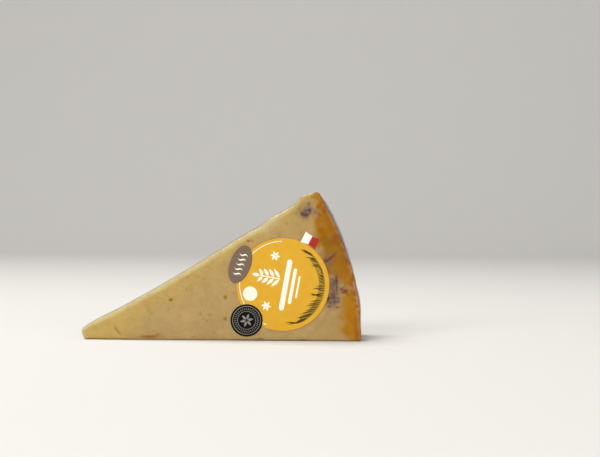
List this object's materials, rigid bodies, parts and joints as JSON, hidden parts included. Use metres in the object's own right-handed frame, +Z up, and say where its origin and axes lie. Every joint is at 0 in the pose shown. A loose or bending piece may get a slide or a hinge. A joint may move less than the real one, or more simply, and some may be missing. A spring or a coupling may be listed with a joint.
{
  "type": "smoked cheese wedge",
  "caption": "Vacuum-packed sector of smoked cheese that stands on one cut side, with stickers on its front face.",
  "frame": {"origin": "on the surface it stands on, under the middle of the box of the wedge with its stickers", "axes": "+X from the tip to the curved rind side, +Z up, and the face with the stickers looks along -Y"},
  "size_m": [0.1246, 0.0456, 0.0661],
  "materials": {
    "filmed_cheese": "semi-hard cheese paste with an orange-brown smoked rind, under tight clear vacuum film",
    "yellow_label": "satin coated label paper, golden yellow with cream and olive print",
    "brown_label": "satin coated label paper, grey-brown with cream print",
    "black_seal": "satin coated label paper, black with grey print",
    "flag_label": "satin coated label paper, one half white and one half red"
  },
  "bodies": {
    "root": {"cheese_wedge": "filmed_cheese", "label_round": "yellow_label", "label_oval": "brown_label", "label_seal": "black_seal", "label_tab": "flag_label"}
  },
  "joints": []
}
